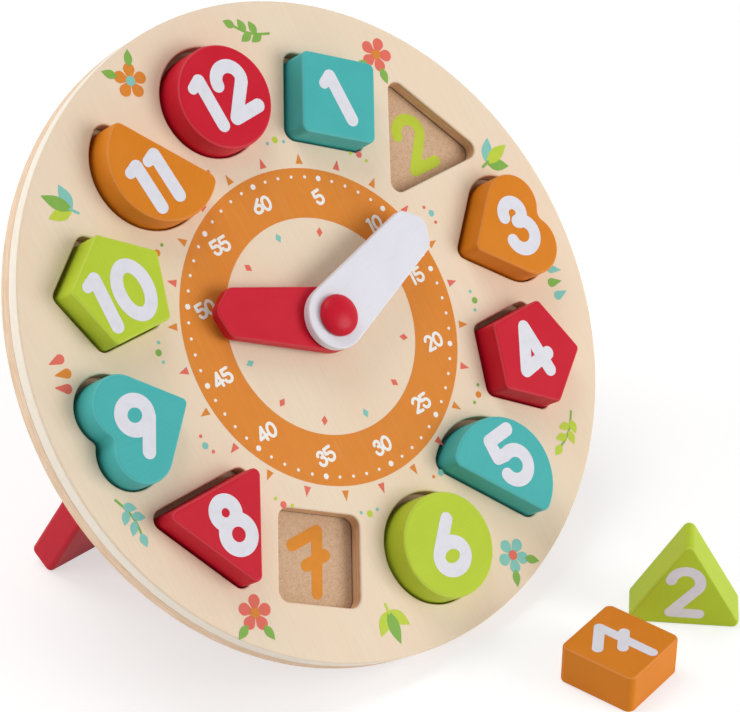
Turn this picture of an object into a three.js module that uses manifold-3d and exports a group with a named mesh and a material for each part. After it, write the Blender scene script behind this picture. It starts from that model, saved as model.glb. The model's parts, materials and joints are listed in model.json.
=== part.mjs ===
// A wooden clock puzzle: a round board with twelve shaped pockets, one numbered block for each hour,
// two hands that turn on a domed pin, and a wide panel that plugs into the back and props the board up.
// Millimetres, +Z up. The face looks toward -Y and leans back. The origin is on the table, under the middle.
import * as THREE from "three";
import { mergeVertices } from "three/addons/utils/BufferGeometryUtils.js";
import Module from "manifold-3d";

const degrees = Math.PI / 180;
const fullTurn = 2 * Math.PI;

// The board: a thick front plate with the pockets cut through it, glued on a plain back plate
const boardRadius = 145;
const frontThickness = 7;
const backThickness = 6.8;
const boardEdgeBevel = 0.8;
const boardLean = 49.3 * degrees;

// Clearances, and how far a seated block has slid down the slope inside its own
const seatGap = 0.3;
const pocketClearance = 1.6;
const blockSlip = 1;
const overrun = 2;

// The ring of pockets, spaced on round ones: the wood left outside them and between two neighbours
// sets both how far from the middle they stand and how wide a block can be
const pocketCount = 12;
const rimWall = 14.9;
const pocketBridge = 5.66;
const pitchShare = Math.sin(Math.PI / pocketCount);
const ringRadius = (boardRadius - rimWall + pocketBridge / 2) / (1 + pitchShare);
const blockSpan = 2 * pitchShare * ringRadius - pocketBridge - 2 * pocketClearance;

// The blocks: their own outlines, which the pockets follow with the pocket clearance all round.
// Shares of the span, and each shape's distance from the middle as a share of the ring's radius
const blockThickness = 18.7;
const blockEdgeRound = 1.2;
const squareShares = { apothem: 0.4017, corner: 0.0742, ring: 0.9545 };
const triangleShares = { apothem: 0.3253, corner: 0.0633, ring: 1.0057 };
const pentagonShares = { apothem: 0.4323, corner: 0.0524, ring: 0.9735 };
const heartShares = { lobe: 0.2969, spread: 0.2183, rise: 0.5742, tip: 0.0524, cleft: 0.0895, ring: 0.8305 };
const deeShares = { arc: 0.5699, flat: 0.131, corner: 0.0852, ring: 0.964 };
const circleShares = { arc: 0.5, ring: 1 };

// The hands, the pin that holds them and the spacer that lifts them off the face; they share a pivot
// a little above the face's middle
const pivotRise = 1.1;
const handPivotRadius = 14.1;
const handEdgeRound = 0.8;
const handShoulderRadius = 5.4;
const hourShortfall = 11.4;
const hourTip = 3.5;
const hourHalfWidth = 10.9;
const hourThickness = 5.4;
const hourBearing = 153.8 * degrees;
const minuteStandOff = 15.7;
const minuteTip = 3.6;
const minuteHalfWidth = 10.7;
const minuteThickness = 4.6;
const minuteBearing = 17.1 * degrees;
const minuteReach = ringRadius - blockSpan / 2 - minuteStandOff;
const hourReach = minuteReach - hourShortfall;
const spacerRadius = 10;
const spacerThickness = 2.4;
const pinShaftRadius = 4;
const pinShaftDepth = 11;
const pinHeadRadius = 9.1;
const pinHeadHeight = 5;
const pinHeadRim = 1;

// The stand: a wide panel square to the board's sides, held by two dowels that run straight into the back
const standWidth = 198;
const standThickness = 14;
const standEdgeRound = 2;
const standFootRadius = 3;
const standRootHeight = 1.2;
const standDroop = 18.7 * degrees;
const dowelRadius = 3;
const dowelDepthInBoard = 10;
const dowelDepthInStand = 12;
const dowelChamfer = 0.6;
const dowelInset = 45;
const dowelDrop = 1.7;

// The two blocks that lie in front of the clock, placed from the point of the table under the face's middle
const looseSquareX = 30;
const looseSquareY = -150.7;
const looseSquareTurn = 39.2 * degrees;
const looseTriangleX = 76;
const looseTriangleY = -147.3;
const looseTriangleTurn = -49.1 * degrees;

// How finely curves are cut into flats, and the distance under which two outline points are one
const boardFlats = 96;
const curveFlats = 36;
const dowelFlats = 24;
const blockRoundSteps = 3;
const edgeRoundSteps = 2;
const domeSteps = 8;
const onePoint = 0.0001;

// Heights above the face of the board, which is the clock group's own zero
const faceHeight = 0;
const frontUnderside = faceHeight - frontThickness;
const backFace = frontUnderside - seatGap;
const backUnderside = backFace - backThickness;
const pocketFloor = backFace + seatGap;
const hourUnderside = seatGap + spacerThickness + seatGap;
const minuteUnderside = hourUnderside + hourThickness + seatGap;
const headUnderside = minuteUnderside + minuteThickness + seatGap;

const wasm = await Module();
wasm.setup();

const finishes = {
  plywood: { color: 0xe6d4b9, roughness: 0.55 },
  fibreboard: { color: 0xc8a57d, roughness: 0.7 },
  red: { color: 0xc82038, roughness: 0.45 },
  teal: { color: 0x55b4b4, roughness: 0.45 },
  lime: { color: 0xb8d23c, roughness: 0.45 },
  orange: { color: 0xd9822d, roughness: 0.45 },
  white: { color: 0xe2e2eb, roughness: 0.45 },
  beech: { color: 0xdcb98a, roughness: 0.6 },
};

// One named sub-part
function piece(name, geometry, finish) {
  const material = new THREE.MeshStandardMaterial({ ...finishes[finish], metalness: 0 });
  const mesh = new THREE.Mesh(geometry, material);
  mesh.name = name;
  return mesh;
}

// Joining and cutting solids

function toSolid(geometry) {
  const bare = geometry.clone();
  bare.deleteAttribute("normal");
  bare.deleteAttribute("uv");
  const merged = mergeVertices(bare);
  const vertProperties = new Float32Array(merged.attributes.position.array);
  const triVerts = new Uint32Array(merged.index.array);
  return new wasm.Manifold(new wasm.Mesh({ numProp: 3, vertProperties, triVerts }));
}

function toGeometry(solid) {
  const { vertProperties, triVerts } = solid.getMesh();
  const geometry = new THREE.BufferGeometry();
  geometry.setAttribute("position", new THREE.BufferAttribute(vertProperties, 3));
  geometry.setIndex(new THREE.BufferAttribute(triVerts, 1));
  const flat = geometry.toNonIndexed();
  flat.computeVertexNormals();
  return flat;
}

function cut(geometry, tools) {
  let solid = toSolid(geometry);
  for (const tool of tools) solid = solid.subtract(toSolid(tool));
  return toGeometry(solid);
}

// Outlines

// The outline of a belt pulled round discs listed counterclockwise. A disc of negative radius lies
// outside the belt and dents it with a fillet. Growing every radius moves the whole outline outward.
function beltOutline(discs, growth = 0) {
  const grown = discs.map(({ x, y, radius }) => ({ x, y, radius: radius + growth }));
  if (grown.length === 1) return arcPoints(grown[0], 0, fullTurn).slice(0, -1);
  const leaving = grown.map((disc, k) => {
    const next = grown[(k + 1) % grown.length];
    const across = Math.hypot(next.x - disc.x, next.y - disc.y);
    const slant = THREE.MathUtils.clamp((disc.radius - next.radius) / across, -1, 1);
    return Math.atan2(next.y - disc.y, next.x - disc.x) - Math.acos(slant);
  });
  const outline = grown.flatMap((disc, k) => {
    const entering = leaving[(k + grown.length - 1) % grown.length];
    const forward = THREE.MathUtils.euclideanModulo(leaving[k] - entering, fullTurn);
    const sweep = disc.radius < 0 ? forward - fullTurn : forward;
    return arcPoints(disc, entering, sweep);
  });
  return outline.filter((point, k) => point.distanceTo(outline.at(k - 1)) > onePoint);
}

function arcPoints({ x, y, radius }, start, sweep) {
  const steps = Math.max(1, Math.round((Math.abs(sweep) / fullTurn) * curveFlats));
  return Array.from({ length: steps + 1 }, (_, k) => {
    const bearing = start + (sweep * k) / steps;
    return new THREE.Vector2(x + radius * Math.cos(bearing), y + radius * Math.sin(bearing));
  });
}

// Equal discs in the corners of a regular polygon whose first corner points along +X
function polygonDiscs(corners, { apothem, corner }) {
  const reach = (apothem - corner) / Math.cos(Math.PI / corners);
  return Array.from({ length: corners }, (_, k) => ({
    x: blockSpan * reach * Math.cos((fullTurn * k) / corners),
    y: blockSpan * reach * Math.sin((fullTurn * k) / corners),
    radius: blockSpan * corner,
  }));
}

function circleDiscs({ arc }) {
  return [{ x: 0, y: 0, radius: blockSpan * arc }];
}

// A heart with its tip near the origin and its two lobes along +X, dented between them by a fillet
function heartDiscs({ lobe, spread, rise, tip, cleft }) {
  const cleftRise = rise + Math.sqrt((lobe + cleft) ** 2 - spread ** 2);
  return [
    { x: 0, y: 0, radius: blockSpan * tip },
    { x: blockSpan * rise, y: -blockSpan * spread, radius: blockSpan * lobe },
    { x: blockSpan * cleftRise, y: 0, radius: -blockSpan * cleft },
    { x: blockSpan * rise, y: blockSpan * spread, radius: blockSpan * lobe },
  ];
}

// A disc cut off by a flat on its -X side, with rounded corners
function deeDiscs({ arc, flat, corner }) {
  const x = corner - flat;
  const y = Math.sqrt((arc - corner) ** 2 - x ** 2);
  return [
    { x: 0, y: 0, radius: blockSpan * arc },
    { x: blockSpan * x, y: blockSpan * y, radius: blockSpan * corner },
    { x: blockSpan * x, y: -blockSpan * y, radius: blockSpan * corner },
  ];
}

// A hand along +X: round at the pivot, tapering to two shoulders and a blunt tip
function handDiscs(reach, tip, halfWidth) {
  const x = reach - tip - handShoulderRadius;
  const y = halfWidth - handShoulderRadius;
  return [
    { x: 0, y: 0, radius: handPivotRadius },
    { x, y: -y, radius: handShoulderRadius },
    { x: reach - handShoulderRadius, y: 0, radius: handShoulderRadius },
    { x, y, radius: handShoulderRadius },
  ];
}

// Solids from outlines

function prism(outline, thickness) {
  return new THREE.ExtrudeGeometry(new THREE.Shape(outline), { depth: thickness, bevelEnabled: false });
}

// A plate standing on its own zero, its edges rounded inside the outline, top and bottom
function roundedPlate(outline, thickness, round, steps) {
  const geometry = new THREE.ExtrudeGeometry(new THREE.Shape(outline), {
    depth: thickness - 2 * round,
    bevelThickness: round,
    bevelSize: round,
    bevelOffset: -round,
    bevelSegments: steps,
  });
  return geometry.translate(0, 0, round);
}

// A turned solid about +Z whose flats, not its corners, face the four sides
function turned(profile, flats) {
  const points = profile.map(([radius, height]) => new THREE.Vector2(radius, height));
  return new THREE.LatheGeometry(points, flats, Math.PI / flats).rotateX(Math.PI / 2);
}

function rod(radius, bottom, top, flats) {
  return turned([[0, bottom], [radius, bottom], [radius, top], [0, top]], flats);
}

// The twelve hours, clockwise from one, as six shapes and their opposites
const shapes = [
  { shape: "square", discs: polygonDiscs(4, squareShares), ringShare: squareShares.ring,
    bearing: 57.7 * degrees, turn: 14.2 * degrees, finishes: ["teal", "orange"] },
  { shape: "triangle", discs: polygonDiscs(3, triangleShares), ringShare: triangleShares.ring,
    bearing: 29.2 * degrees, turn: 90 * degrees, finishes: ["lime", "red"] },
  { shape: "heart", discs: heartDiscs(heartShares), ringShare: heartShares.ring,
    bearing: 0, turn: 0, finishes: ["orange", "teal"] },
  { shape: "pentagon", discs: polygonDiscs(5, pentagonShares), ringShare: pentagonShares.ring,
    bearing: -30.7 * degrees, turn: -90 * degrees, finishes: ["red", "lime"] },
  { shape: "dee", discs: deeDiscs(deeShares), ringShare: deeShares.ring,
    bearing: -65.1 * degrees, turn: 40.1 * degrees, finishes: ["teal", "orange"] },
  { shape: "circle", discs: circleDiscs(circleShares), ringShare: circleShares.ring,
    bearing: -90 * degrees, turn: 0, finishes: ["lime", "red"] },
];
const hours = [0, 1].flatMap((half) =>
  shapes.map(({ shape, discs, ringShare, bearing, turn, finishes: pair }, k) => ({
    name: `block_${half * shapes.length + k + 1}_${shape}`,
    discs,
    x: ringRadius * ringShare * Math.cos(bearing + half * Math.PI),
    y: ringRadius * ringShare * Math.sin(bearing + half * Math.PI),
    turn: turn + half * Math.PI,
    finish: pair[half],
  })),
);
const looseSquareName = "block_7_square";
const looseTriangleName = "block_2_triangle";

// The boards

function disc(bottom, top, bevelTop, bevelBottom) {
  const inner = boardRadius - boardEdgeBevel;
  const low = bevelBottom ? [[inner, bottom], [boardRadius, bottom + boardEdgeBevel]] : [[boardRadius, bottom]];
  const high = bevelTop ? [[boardRadius, top - boardEdgeBevel], [inner, top]] : [[boardRadius, top]];
  return turned([[0, bottom], ...low, ...high, [0, top]], boardFlats);
}

function pocketCutter({ discs, x, y, turn }) {
  const outline = beltOutline(discs, pocketClearance);
  return prism(outline, frontThickness + 2 * overrun)
    .rotateZ(turn)
    .translate(x, y, frontUnderside - overrun);
}

function pinHole() {
  const top = faceHeight + overrun;
  return rod(pinShaftRadius + seatGap, -pinShaftDepth - seatGap, top, dowelFlats).translate(0, pivotRise, 0);
}

function dowelHoles() {
  const radius = dowelRadius + seatGap;
  const top = backUnderside + dowelDepthInBoard + seatGap;
  const bottom = backUnderside - dowelDepthInStand - seatGap;
  return dowelPlaces().map(([x, y]) => rod(radius, bottom, top, dowelFlats).translate(x, y, 0));
}

function dowelPlaces() {
  const x = standWidth / 2 - dowelInset;
  const y = standRootHeight - dowelDrop;
  return [[-x, y], [x, y]];
}

function frontBoard() {
  const cutters = [...hours.map(pocketCutter), pinHole(), ...dowelHoles()];
  return piece("front_board", cut(disc(frontUnderside, faceHeight, true, false), cutters), "plywood");
}

function backBoard() {
  const cutters = [pinHole(), ...dowelHoles()];
  return piece("back_board", cut(disc(backUnderside, backFace, false, true), cutters), "fibreboard");
}

// The hands and their pin

function hand(name, discs, thickness, underside, bearing, finish) {
  const plate = roundedPlate(beltOutline(discs), thickness, handEdgeRound, edgeRoundSteps);
  const bore = rod(pinShaftRadius + seatGap, -overrun, thickness + overrun, dowelFlats);
  const mesh = piece(name, cut(plate, [bore]), finish);
  mesh.position.set(0, pivotRise, underside);
  mesh.rotation.z = bearing;
  return mesh;
}

function hourHand() {
  const discs = handDiscs(hourReach, hourTip, hourHalfWidth);
  return hand("hour_hand", discs, hourThickness, hourUnderside, hourBearing, "red");
}

function minuteHand() {
  const discs = handDiscs(minuteReach, minuteTip, minuteHalfWidth);
  return hand("minute_hand", discs, minuteThickness, minuteUnderside, minuteBearing, "white");
}

function handSpacer() {
  const inner = pinShaftRadius + seatGap;
  const ring = rod(spacerRadius, 0, spacerThickness, curveFlats);
  const bore = rod(inner, -overrun, spacerThickness + overrun, dowelFlats);
  const mesh = piece("hand_spacer", cut(ring, [bore]), "beech");
  mesh.position.set(0, pivotRise, seatGap);
  return mesh;
}

// A shaft in the board under a head with a short upright rim and a domed top
function centrePin() {
  const rimTop = headUnderside + pinHeadRim;
  const domeHeight = pinHeadHeight - pinHeadRim;
  const dome = Array.from({ length: domeSteps }, (_, k) => {
    const rise = ((k / domeSteps) * Math.PI) / 2;
    return [pinHeadRadius * Math.cos(rise), rimTop + domeHeight * Math.sin(rise)];
  });
  const profile = [
    [0, -pinShaftDepth],
    [pinShaftRadius, -pinShaftDepth],
    [pinShaftRadius, headUnderside],
    [pinHeadRadius, headUnderside],
    ...dome,
    [0, rimTop + domeHeight],
  ];
  const mesh = piece("centre_pin", turned(profile, curveFlats), "red");
  mesh.position.y = pivotRise;
  return mesh;
}

// The stand

// How long the panel is below the board's back, so that its rounded foot and the board's rim share the table
function standLength(clockHeight) {
  const half = standThickness / 2 - standFootRadius;
  const slope = boardLean - standDroop;
  const rootHeight = clockHeight
    + standRootHeight * Math.sin(boardLean)
    + (backUnderside - seatGap) * Math.cos(boardLean);
  const footDrop = rootHeight - half * Math.sin(slope) - standFootRadius;
  return footDrop / Math.cos(slope) + standFootRadius;
}

// The panel's side view: +X along the panel to its foot, +Y to its upper face, root cut flush with the back
function standOutline(length) {
  const half = standThickness / 2;
  const slant = half * Math.tan(standDroop);
  const foot = length - standFootRadius;
  const lower = { x: foot, y: standFootRadius - half, radius: standFootRadius };
  const upper = { x: foot, y: half - standFootRadius, radius: standFootRadius };
  return [
    new THREE.Vector2(-slant, half),
    new THREE.Vector2(slant, -half),
    ...arcPoints(lower, -Math.PI / 2, Math.PI / 2),
    ...arcPoints(upper, 0, Math.PI / 2),
  ];
}

function standPanel(clockHeight) {
  const outline = standOutline(standLength(clockHeight));
  const plate = roundedPlate(outline, standWidth, standEdgeRound, edgeRoundSteps)
    .translate(0, 0, -standWidth / 2)
    .rotateY(Math.PI / 2)
    .rotateX(-standDroop)
    .translate(0, standRootHeight, backUnderside - seatGap);
  return piece("stand_panel", cut(plate, dowelHoles()), "red");
}

function standDowel(name, [x, y]) {
  const end = dowelRadius - dowelChamfer;
  const bottom = backUnderside - dowelDepthInStand;
  const top = backUnderside + dowelDepthInBoard;
  const profile = [
    [0, bottom],
    [end, bottom],
    [dowelRadius, bottom + dowelChamfer],
    [dowelRadius, top - dowelChamfer],
    [end, top],
    [0, top],
  ];
  const mesh = piece(name, turned(profile, dowelFlats), "beech");
  mesh.position.set(x, y, 0);
  return mesh;
}

// The blocks

function block({ name, discs, finish }) {
  const outline = beltOutline(discs);
  return piece(name, roundedPlate(outline, blockThickness, blockEdgeRound, blockRoundSteps), finish);
}

// A block in its pocket, slid a little down the slope
function seatedBlock(hour) {
  const mesh = block(hour);
  mesh.position.set(hour.x, hour.y - blockSlip, pocketFloor);
  mesh.rotation.z = hour.turn;
  return mesh;
}

// The loose square lies flat, number up
function looseSquare() {
  const hour = hours.find(({ name }) => name === looseSquareName);
  const mesh = block(hour);
  mesh.position.set(looseSquareX, looseSquareY, 0);
  mesh.rotation.z = hour.turn + looseSquareTurn;
  return mesh;
}

// The loose triangle stands on a side, apex up, placed by the middle of its front lower edge
function looseTriangle() {
  const mesh = block(hours.find(({ name }) => name === looseTriangleName));
  mesh.position.z = -blockThickness;
  mesh.rotation.z = Math.PI / 2;
  const upright = new THREE.Group().add(mesh);
  upright.rotation.x = Math.PI / 2;
  const standing = new THREE.Group().add(upright);
  standing.position.set(looseTriangleX, looseTriangleY, blockSpan * triangleShares.apothem);
  standing.rotation.z = looseTriangleTurn;
  return standing;
}

function lowestPoint(object) {
  return new THREE.Box3().setFromObject(object, true).min.z;
}

// The assembly

function buildClock() {
  const clock = new THREE.Group();
  clock.rotation.x = boardLean;
  clock.add(frontBoard(), backBoard());
  clock.position.z = -lowestPoint(clock);
  const loose = [looseSquareName, looseTriangleName];
  const seated = hours.filter(({ name }) => !loose.includes(name));
  const [left, right] = dowelPlaces();
  clock.add(...seated.map(seatedBlock));
  clock.add(handSpacer(), hourHand(), minuteHand(), centrePin());
  clock.add(standPanel(clock.position.z), standDowel("stand_dowel_left", left));
  clock.add(standDowel("stand_dowel_right", right));
  return clock;
}

function buildModel() {
  const model = new THREE.Group();
  model.name = "clock_puzzle";
  model.add(buildClock(), looseSquare(), looseTriangle());
  const box = new THREE.Box3().setFromObject(model, true);
  const centre = box.getCenter(new THREE.Vector3());
  model.position.set(-centre.x, -centre.y, 0);
  return model;
}

export default buildModel();
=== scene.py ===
# The looks of the wooden clock puzzle: its boards, painted blocks, numerals, hands, stand and
# face print. Shapes are written in millimetres, on the clock face (x to three o'clock, y to
# twelve, z out of the face) or in a piece's own frame. Each finished piece is placed in the row
# frame, in metres.
import json
import math
from itertools import pairwise

import bmesh
import bpy
from mathutils import Matrix, Vector


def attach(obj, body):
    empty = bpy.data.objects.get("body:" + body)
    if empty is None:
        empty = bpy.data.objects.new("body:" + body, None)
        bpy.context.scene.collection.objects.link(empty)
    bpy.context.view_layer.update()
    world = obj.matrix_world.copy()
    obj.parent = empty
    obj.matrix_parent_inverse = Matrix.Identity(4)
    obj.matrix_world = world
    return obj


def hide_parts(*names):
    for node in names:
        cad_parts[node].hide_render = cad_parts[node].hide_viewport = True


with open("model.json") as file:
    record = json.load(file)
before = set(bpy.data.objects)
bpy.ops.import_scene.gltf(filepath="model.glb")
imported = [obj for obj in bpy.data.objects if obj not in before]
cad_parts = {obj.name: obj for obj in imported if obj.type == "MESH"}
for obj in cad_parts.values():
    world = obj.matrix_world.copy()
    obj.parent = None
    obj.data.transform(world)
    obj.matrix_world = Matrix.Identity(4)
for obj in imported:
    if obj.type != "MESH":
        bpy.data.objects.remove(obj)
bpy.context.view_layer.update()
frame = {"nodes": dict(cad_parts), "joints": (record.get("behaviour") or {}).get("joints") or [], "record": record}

MM = 0.001

# The boards and the gaps, as in the solid model, with the rim kept inside its facets
BOARD_RADIUS = 144.6
BOARD_ROUND = 0.8
FRONT_THICKNESS = 7.0
BACK_THICKNESS = 6.8
SEAT_GAP = 0.3
POCKET_CLEARANCE = 1.6
BLOCK_SLIP = 1.0
BACK_FACE = -FRONT_THICKNESS - SEAT_GAP
BACK_UNDERSIDE = BACK_FACE - BACK_THICKNESS

# The ring of pockets and the blocks
RING_RADIUS = 105.6
BLOCK_SPAN = 45.8
BLOCK_THICKNESS = 18.7
BLOCK_ROUND = 1.2
TRIANGLE_APOTHEM = 0.3253

# The hands, the pin and the stand
PIVOT_RISE = 1.1
HAND_PIVOT = 14.1
HAND_SHOULDER = 5.4
HAND_ROUND = 0.8
BORE_RADIUS = 4.3
HOUR_HAND = {
    "reach": 55.6, "tip": 3.5, "half": 10.9,
    "thickness": 5.4, "underside": 3.0, "bearing": 153.8,
}
MINUTE_HAND = {
    "reach": 67.0, "tip": 3.6, "half": 10.7,
    "thickness": 4.6, "underside": 8.7, "bearing": 17.1,
}
PIN_SHAFT = 4.0
PIN_DEPTH = 11.0
PIN_HEAD = 9.1
PIN_UNDERSIDE = 13.6
PIN_RIM = 1.0
PIN_DOME = 4.0
PIN_EDGE = 0.3
STAND_WIDTH = 198.0
STAND_THICKNESS = 14.0
STAND_ROUND = 2.0
STAND_FOOT = 3.0
STAND_ROOT = 1.2
STAND_DROOP = 18.7
DOWEL_RADIUS = 3.0
DOWEL_X = 54.0
DOWEL_Y = -0.5

# The two blocks that lie in front, from the point of the table under the face's middle
SQUARE_HOUR = 7
LOOSE_SQUARE = (30.0, -150.7)
LOOSE_SQUARE_TURN = 39.2
TRIANGLE_HOUR = 2
LOOSE_TRIANGLE = (76.0, -147.3)
LOOSE_TRIANGLE_TURN = -49.1

# Printed ink and painted numerals; the flag of a 1 narrows to a share of its stroke
NUMERAL_HALF = 3.05
LOOSE_NUMERAL_HALF = 2.4
POCKET_NUMERAL_HALF = 2.65
POCKET_NUMERAL_SHIFT = 0.7
FLAG_SHARE = 0.8
INK_SUNK = 0.05
INK_PROUD = 0.06
INK_STEP = 0.015

# Degrees between the points of an arc
ARC_STEP = 7.5
BELT_STEP = 6.0
RIM_STEP = 2.0
BAND_STEP = 3.0
BORE_STEP = 10.0
FOOT_STEP = 10.0
DOME_STEP = 6.0
SMALL_STEP = 15.0
DOT_STEP = 20.0

# Steps of the other curves, and how close two points count as one
ROUND_STEPS = 5
LEAF_STEPS = 16
SPRIG_STEPS = 12
PIN_STEPS = 64
SAME_POINT = 0.001
SAME_VERTEX = 0.0001


# Colours

def srgb(red, green, blue):
    """A colour as it shows on a screen, 0 to 255, as the shader's linear numbers."""
    parts = [c / 255 for c in (red, green, blue)]
    return tuple(c / 12.92 if c < 0.04045 else ((c + 0.055) / 1.055) ** 2.4 for c in parts) + (1.0,)


def grey(level):
    return (level, level, level, 1.0)


def toned(colour, share, lift=0.0):
    """A colour made darker or paler."""
    return [min(1.0, c * share + lift) for c in colour[:3]] + [1.0]


PAINTS = {
    "red": srgb(197, 16, 41),
    "teal": srgb(70, 174, 172),
    "lime": srgb(180, 201, 50),
    "orange": srgb(213, 125, 22),
    "white": srgb(223, 222, 230),
}
POCKET_INKS = {**PAINTS, "orange": srgb(222, 140, 40), "lime": srgb(190, 206, 62)}
INKS = {
    "orange": srgb(220, 134, 46),
    "lime": srgb(190, 208, 66),
    "green": srgb(128, 176, 76),
    "teal": srgb(130, 196, 186),
    "coral": srgb(226, 108, 92),
    "white": srgb(240, 238, 232),
}
WOODS = {
    "veneer": srgb(237, 218, 194),
    "veneer_fibre": srgb(233, 213, 187),
    "veneer_drift": srgb(238, 211, 182),
    "veneer_fleck": srgb(212, 182, 146),
    "veneer_under_ink": srgb(232, 212, 187),
    # Painted shade: the plywood edge on the pocket walls, darker than the same edge at the rim
    "ply": srgb(226, 190, 152),
    "ply_streak": srgb(206, 168, 128),
    "ply_glue": srgb(164, 118, 82),
    # Painted shade: dark brown at the foot of each pocket wall, where it meets the floor
    "pocket_foot_shade": srgb(84, 46, 34),
    # Painted light: the same plywood edge at the outer rim, far paler
    "rim": srgb(252, 243, 229),
    "rim_streak": srgb(247, 235, 217),
    "rim_glue": srgb(226, 206, 180),
    "pressed": srgb(214, 180, 147),
    "pressed_clump": srgb(206, 171, 137),
    "pressed_speck": srgb(172, 132, 98),
    "pressed_thread": srgb(224, 196, 160),
    # The board's cut edge: its layers are its own, its paleness is painted light
    "pressed_edge": srgb(244, 216, 188),
    "pressed_layer": srgb(230, 196, 162),
    "beech": srgb(226, 190, 145),
    "beech_fibre": srgb(206, 164, 116),
    "beech_ray": srgb(170, 122, 80),
}

# Specular levels and roughness
SHEEN = 0.16
PRESSED_SHEEN = 0.3
BEECH_SHEEN = 0.5
BLOCK_ROUGHNESS = 0.46
HAND_ROUGHNESS = 0.4
PIN_ROUGHNESS = 0.3

# Depths below a painted top between which its rounded edge is painted paler as a painted highlight: begins, full,
# fades, ends
EDGE_HIGHLIGHT_BAND = (0.85, 0.6, 0.14, 0.05)

# The front board's plies, by height on the face, and where the outer rim's painted light begins, by radius
GLUE_PERIOD = 2.2
GLUE_LINE = (0.86, 0.98)
# Painted shade at the foot of the pocket walls: full below the first height, none above the second
POCKET_FOOT_SHADE = (-6.65, -6.4)
VENEER_EDGE = (-0.75, -0.6)
RIM_BEGINS = (BOARD_RADIUS - 0.7, BOARD_RADIUS - 0.3)


# Places

def at(x=0.0, y=0.0, z=0.0):
    return Matrix.Translation((x, y, z))


def turned(degrees, axis="Z"):
    return Matrix.Rotation(math.radians(degrees), 4, axis)


def face_frame():
    """The clock face's own frame about its middle, in millimetres, as a matrix to the row frame."""
    joint = next(j for j in frame["joints"] if j["name"] == "minute_hand_turn")
    out = -Vector(joint["axis"]).normalized()
    right = Vector((1, 0, 0))
    axes = Matrix((right, out.cross(right), out)).transposed().to_4x4()
    return at(*joint["pos_m"]) @ axes @ Matrix.Scale(MM, 4) @ at(y=-PIVOT_RISE)


FACE = face_frame()
FACE_Y = FACE.translation.y / MM


# Outlines, all counterclockwise

def arc(x, y, rx, start, end, ry=None, step=ARC_STEP):
    """Points along an arc of a circle or an upright ellipse, between two bearings in degrees."""
    steps = max(1, round(abs(end - start) / step))
    bearings = [math.radians(start + (end - start) * k / steps) for k in range(steps + 1)]
    return [(x + rx * math.cos(b), y + (ry or rx) * math.sin(b)) for b in bearings]


def circle(x, y, rx, ry=None, step=ARC_STEP):
    return arc(x, y, rx, 0, 360, ry, step)[:-1]


def belt(discs, growth=0.0, step=BELT_STEP):
    """A belt pulled round discs (x, y, radius); one of negative radius dents it with a fillet."""
    grown = [(x, y, r + growth) for x, y, r in discs]
    if len(grown) == 1:
        return circle(*grown[0], step=step)
    leaving = []
    for (x, y, r), (next_x, next_y, next_r) in pairwise([*grown, grown[0]]):
        slant = (r - next_r) / math.hypot(next_x - x, next_y - y)
        toward = math.atan2(next_y - y, next_x - x)
        leaving.append(toward - math.acos(max(-1.0, min(1.0, slant))))
    points = []
    for k, (x, y, r) in enumerate(grown):
        start = leaving[k - 1]
        forward = (leaving[k] - start) % math.tau
        end = start + (forward - math.tau if r < 0 else forward)
        points += arc(x, y, r, math.degrees(start), math.degrees(end), step=step)
    return [p for k, p in enumerate(points) if math.dist(p, points[k - 1]) > SAME_POINT]


def ribbon(path, half):
    """The outline of a stroke of even width along a path, with round ends."""
    sides = []
    for k, (x, y) in enumerate(path):
        (ax, ay), (bx, by) = path[max(k - 1, 0)], path[min(k + 1, len(path) - 1)]
        length = math.hypot(bx - ax, by - ay)
        sides.append((x, y, half * (by - ay) / length, -half * (bx - ax) / length))
    right = [(x + dx, y + dy) for x, y, dx, dy in sides]
    left = [(x - dx, y - dy) for x, y, dx, dy in reversed(sides)]
    first, last = sides[0], sides[-1]
    ends = []
    for x, y, dx, dy in (last, (first[0], first[1], -first[2], -first[3])):
        start = math.degrees(math.atan2(dy, dx))
        ends.append(arc(x, y, half, start, start + 180, step=SMALL_STEP)[1:-1])
    return right + ends[0] + left + ends[1]


def two_circles(first, second):
    """The outline round two circles (x, y, radius) that cross each other."""
    outline = []
    for (x, y, r), (other_x, other_y, other_r) in ((first, second), (second, first)):
        apart = math.hypot(other_x - x, other_y - y)
        toward = math.atan2(other_y - y, other_x - x)
        cut = math.acos((r * r + apart * apart - other_r * other_r) / (2 * r * apart))
        start, end = toward + cut, toward + math.tau - cut
        outline += arc(x, y, r, math.degrees(start), math.degrees(end))[:-1]
    return outline


def leaf(length, width):
    """A pointed leaf from the origin along +X, broadest a little before its middle."""
    belly = 0.85
    along = [k / LEAF_STEPS for k in range(LEAF_STEPS + 1)]
    lower = [(length * t, -width * math.sin(math.pi * t ** belly)) for t in along]
    upper = [(x, -y) for x, y in reversed(lower[1:-1])]
    return lower + upper


def moved(outline, matrix):
    return [tuple((matrix @ Vector((x, y, 0)))[:2]) for x, y in outline]


# Solids from outlines

def edge_profile(thickness, low_round, high_round):
    """Inset and height up the side of a plate whose lower and upper edges are rounded."""
    quarter = [math.pi / 2 * k / ROUND_STEPS for k in range(ROUND_STEPS + 1)]
    low = [(low_round * (1 - math.sin(a)), low_round * (1 - math.cos(a))) for a in quarter]
    high = [
        (high_round * (1 - math.cos(a)), thickness - high_round * (1 - math.sin(a)))
        for a in quarter
    ]
    return (low if low_round else [(0, 0)]) + (high if high_round else [(0, thickness)])


def add_ring(bm, outline, z):
    verts = [bm.verts.new((x, y, z)) for x, y in outline]
    return [bm.edges.new(pair) for pair in pairwise([*verts, verts[0]])]


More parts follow.
